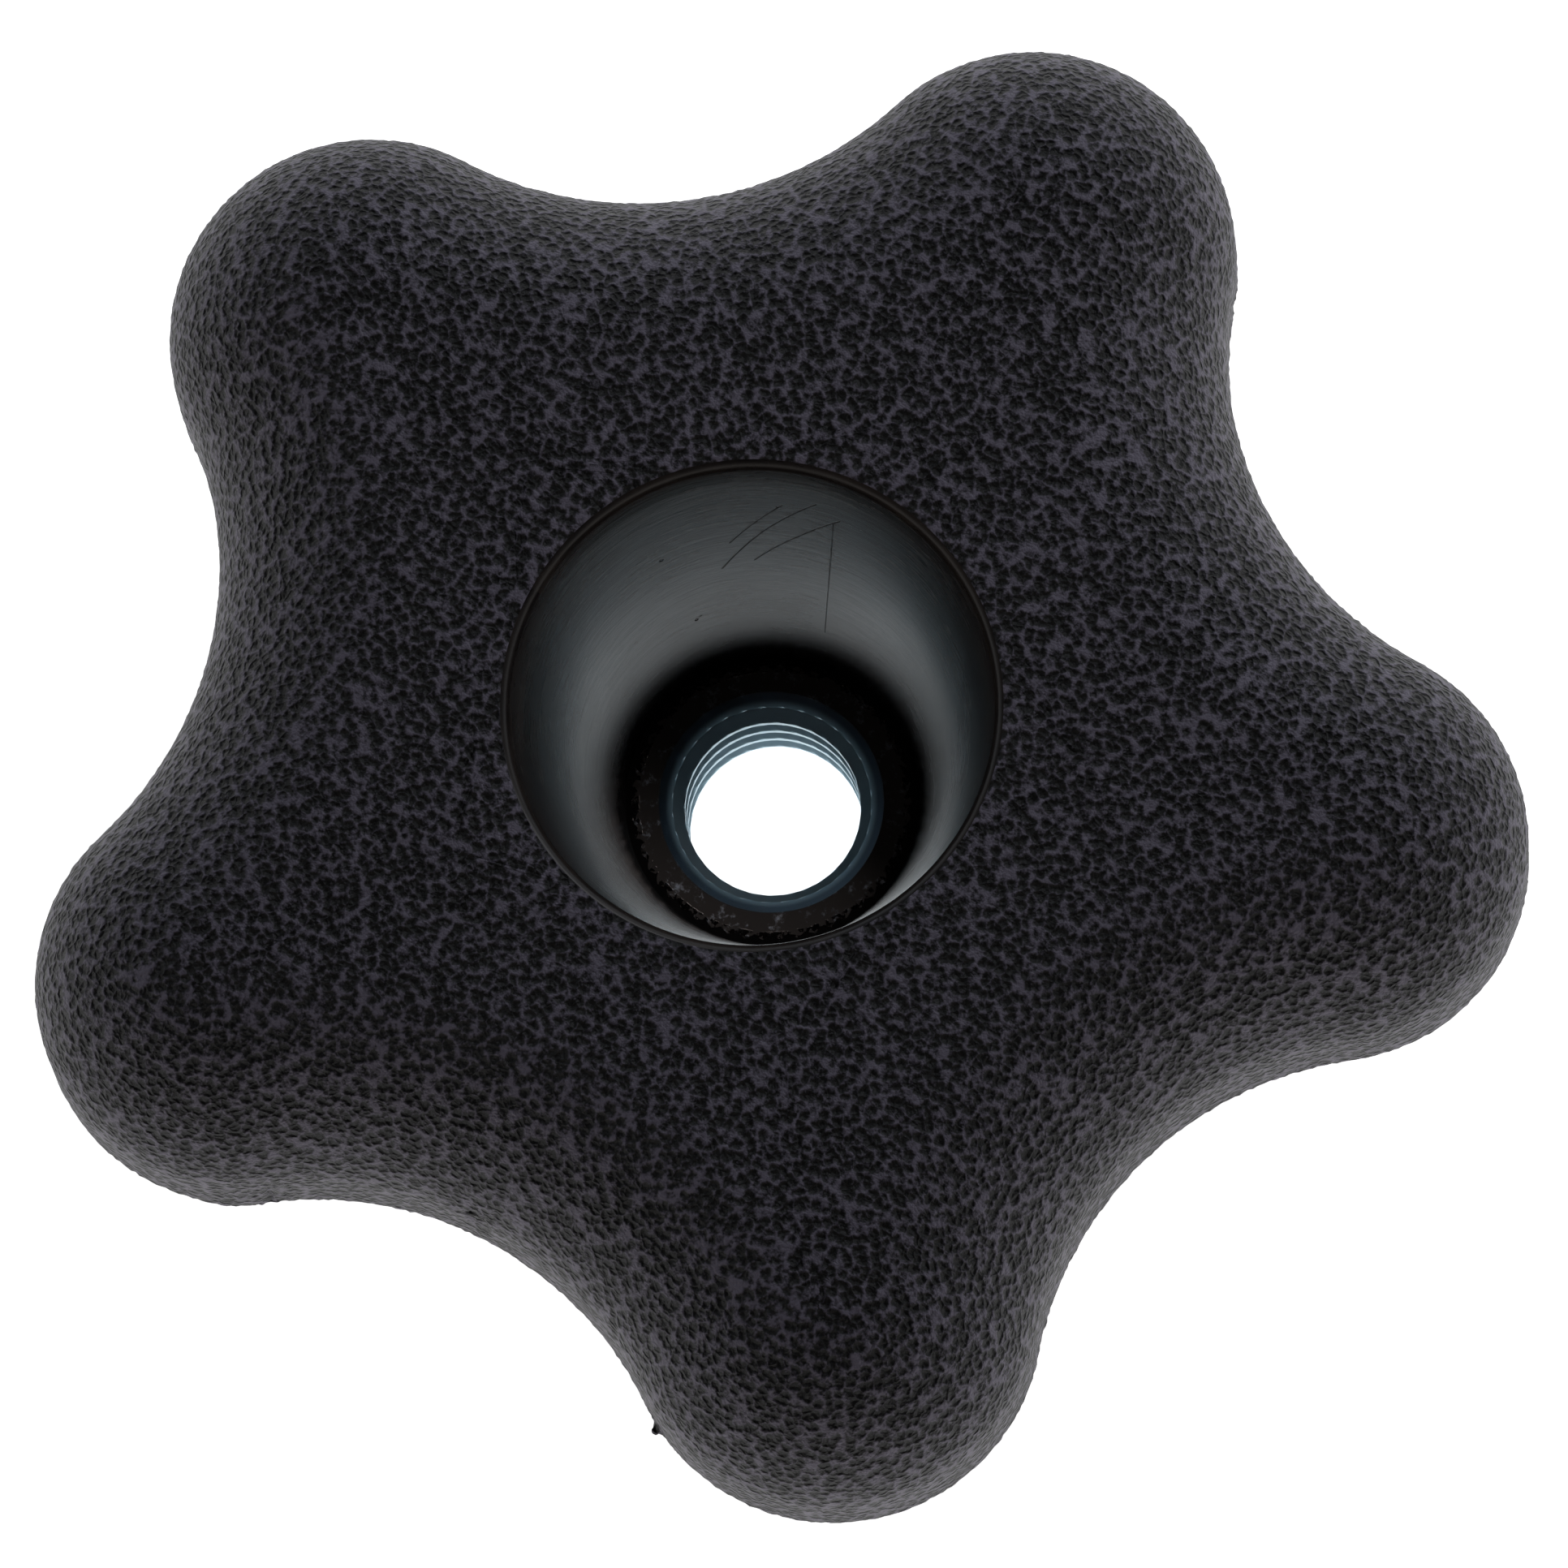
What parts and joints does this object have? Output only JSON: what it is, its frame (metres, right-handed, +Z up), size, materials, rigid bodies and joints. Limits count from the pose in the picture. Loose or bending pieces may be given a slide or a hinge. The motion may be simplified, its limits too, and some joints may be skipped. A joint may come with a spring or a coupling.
{
  "type": "star knob",
  "caption": "Star-shaped hand knob with rounded lobes, a tapered recess in its top and a threaded steel insert right through its hub.",
  "frame": {"origin": "centre of the seat face at the bottom of the hub, on the axis of the threaded hole", "axes": "+Z up the axis of the threaded hole, from the seat face towards the recess in the top; one lobe points along +Y"},
  "size_m": [0.054, 0.0521, 0.0239],
  "materials": {
    "knob_plastic": "black moulded thermoplastic with a pebbled grain, smooth inside the recess",
    "insert_steel": "zinc-plated steel with a bluish sheen"
  },
  "bodies": {
    "root": {"knob_body": "knob_plastic", "threaded_insert": "insert_steel"}
  },
  "joints": []
}
